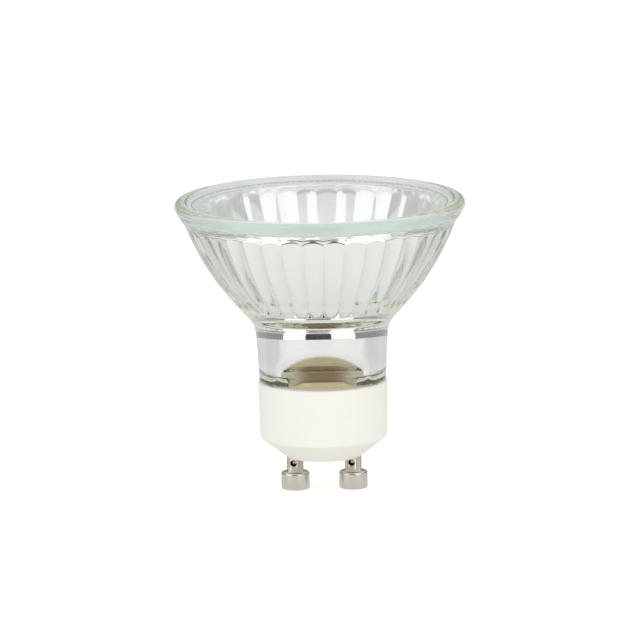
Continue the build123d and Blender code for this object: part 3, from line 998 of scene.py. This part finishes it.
def floor():
    """Wide white floor that keeps a faint shadow. Glass and metal see it as plain white in
    front of the bulb and a little darker beside and behind it."""
    reach = FLOOR_REACH
    corners = reach * np.array([(-1, -1, 0), (1, -1, 0), (1, 1, 0), (-1, 1, 0)])
    piece = build_mesh("floor", corners, np.array([[0, 1, 2, 3]]))
    material, tree, shader = new_material("white_floor")
    set_values(shader, Roughness=1.0, Specular_IOR_Level=0.0, Emission_Color=(1, 1, 1, 1))
    path = tree.nodes.new("ShaderNodeLightPath")
    mirrored, refracted = path.outputs["Is Glossy Ray"], path.outputs["Is Transmission Ray"]
    seen = math_node(tree, "MAXIMUM", mirrored, refracted)
    place = tree.nodes.new("ShaderNodeTexCoord")
    split = tree.nodes.new("ShaderNodeSeparateXYZ")
    tree.links.new(place.outputs["Object"], split.inputs["Vector"])
    ramp = tree.nodes.new("ShaderNodeMapRange")
    ramp.interpolation_type = "SMOOTHSTEP"
    set_values(ramp, From_Min=FLOOR_CHANGE[0], From_Max=FLOOR_CHANGE[1])
    set_values(ramp, To_Min=FLOOR_FRONT, To_Max=FLOOR_BACK)
    tree.links.new(split.outputs["Y"], ramp.inputs["Value"])
    glow = mix_value(tree, path.outputs["Is Camera Ray"], FLOOR_LIFT, FLOOR_GLOW)
    glow = mix_value(tree, seen, glow, ramp.outputs["Result"])
    tone = tree.nodes.new("ShaderNodeCombineColor")
    lit = mix_value(tree, seen, FLOOR_TONE, 0.0)
    for socket in ("Red", "Green", "Blue"):
        tree.links.new(lit, tone.inputs[socket])
    tree.links.new(tone.outputs["Color"], shader.inputs["Base Color"])
    tree.links.new(glow, shader.inputs["Emission Strength"])
    piece.data.materials.append(material)


def camera():
    """Camera at the photograph's height and distance, turned by its small tilt, with the
    focal length that gives the photograph's scale."""
    rise = math.radians(CAMERA_RISE)
    target = Vector((CAMERA_SIDE, 0.0, CAMERA_AIM_Z))
    away = Vector((0.0, -CAMERA_DISTANCE, CAMERA_DISTANCE * math.tan(rise)))
    data = bpy.data.cameras.new("camera")
    data.sensor_width = SENSOR
    data.lens = SENSOR * PIXELS_PER_M * away.length / PHOTO_PIXELS
    view = bpy.data.objects.new("camera", data)
    view.location = target + away
    aim = (-away).to_track_quat("-Z", "Y").to_matrix()
    roll = Euler((0.0, 0.0, math.radians(CAMERA_ROLL))).to_matrix()
    view.rotation_euler = (aim @ roll).to_euler()
    bpy.context.scene.collection.objects.link(view)
    bpy.context.scene.camera = view


def soft_lamp(name, place, target):
    """Square soft lamp that looks at a target. Glass and metal see the studio's own bright
    boxes instead of it."""
    data = bpy.data.lights.new(name, "AREA")
    data.size = LAMP_SIZE
    data.energy = LAMP_POWER
    lamp = bpy.data.objects.new(name, data)
    lamp.location = place
    lamp.rotation_euler = (Vector(target) - Vector(place)).to_track_quat("-Z", "Y").to_euler()
    lamp.visible_glossy = False
    lamp.visible_transmission = False
    lamp.visible_camera = False
    bpy.context.scene.collection.objects.link(lamp)


# The bulb

UNEVEN = uneven_group()
glass = pressed_glass()
film = plain_finish("aluminium_film", FILM, FILM_DULL, 260.0, 0.5, Metallic=1.0, Roughness=0.05)
cover = clear_glass("cover_glass", COVER_TINT, GLASS_IOR)
quartz = clear_glass("quartz", QUARTZ_TINT, QUARTZ_IOR)
ceramic = plain_finish("ceramic", CERAMIC, CERAMIC_DULL, 700.0, 0.8, 0.012 * MM, Roughness=0.42)
cement = plain_finish("cement", CEMENT, CEMENT_PALE, 900.0, 0.9, 0.08 * MM, Roughness=0.9)
nickel = pin_metal()
bead = plain_finish("weld_bead", WELD, WELD_DULL, 1500.0, 0.9, Metallic=1.0, Roughness=0.15)
wire = plain_finish("nickel_wire", WIRE, WIRE_DULL, 900.0, 0.8, Metallic=1.0, Roughness=0.3)
tungsten = plain_finish("tungsten", TUNGSTEN, TUNGSTEN_DULL, 900.0, 0.8, Metallic=1.0, Roughness=0.35)
silicone = plain_finish("silicone", SILICONE, SILICONE_DULL, 600.0, 0.8, Roughness=0.5)

dress(reflector_glass(), glass)
dress(mirror_film(), film)
dress(cement_collar(), cement)
dress(bore_cement(), bore_cement_with_painted_shade())
dress(ceramic_cup(), ceramic)
dress(coil(), tungsten)
dress(cover_glass(), cover)
dress(smooth_copy("lens_seal"), silicone)
dress(smooth_copy("burner_envelope"), quartz)
for side in ("left", "right"):
    dress(smooth_copy("contact_pin_" + side), nickel)
    dress(smooth_copy("weld_bead_" + side), bead)
    for part in ("lead_wire_", "inner_lead_", "seal_foil_"):
        dress(smooth_copy(part + side), wire)

bpy.context.scene.view_settings.view_transform = "Standard"
bpy.context.scene.cycles.max_bounces = LIGHT_BOUNCES
bpy.context.scene.cycles.glossy_bounces = LIGHT_BOUNCES
bpy.context.scene.cycles.transmission_bounces = LIGHT_BOUNCES
studio_world()
floor()
camera()
for place in LAMP_PLACES:
    soft_lamp("soft_lamp", place, LAMP_AIM)
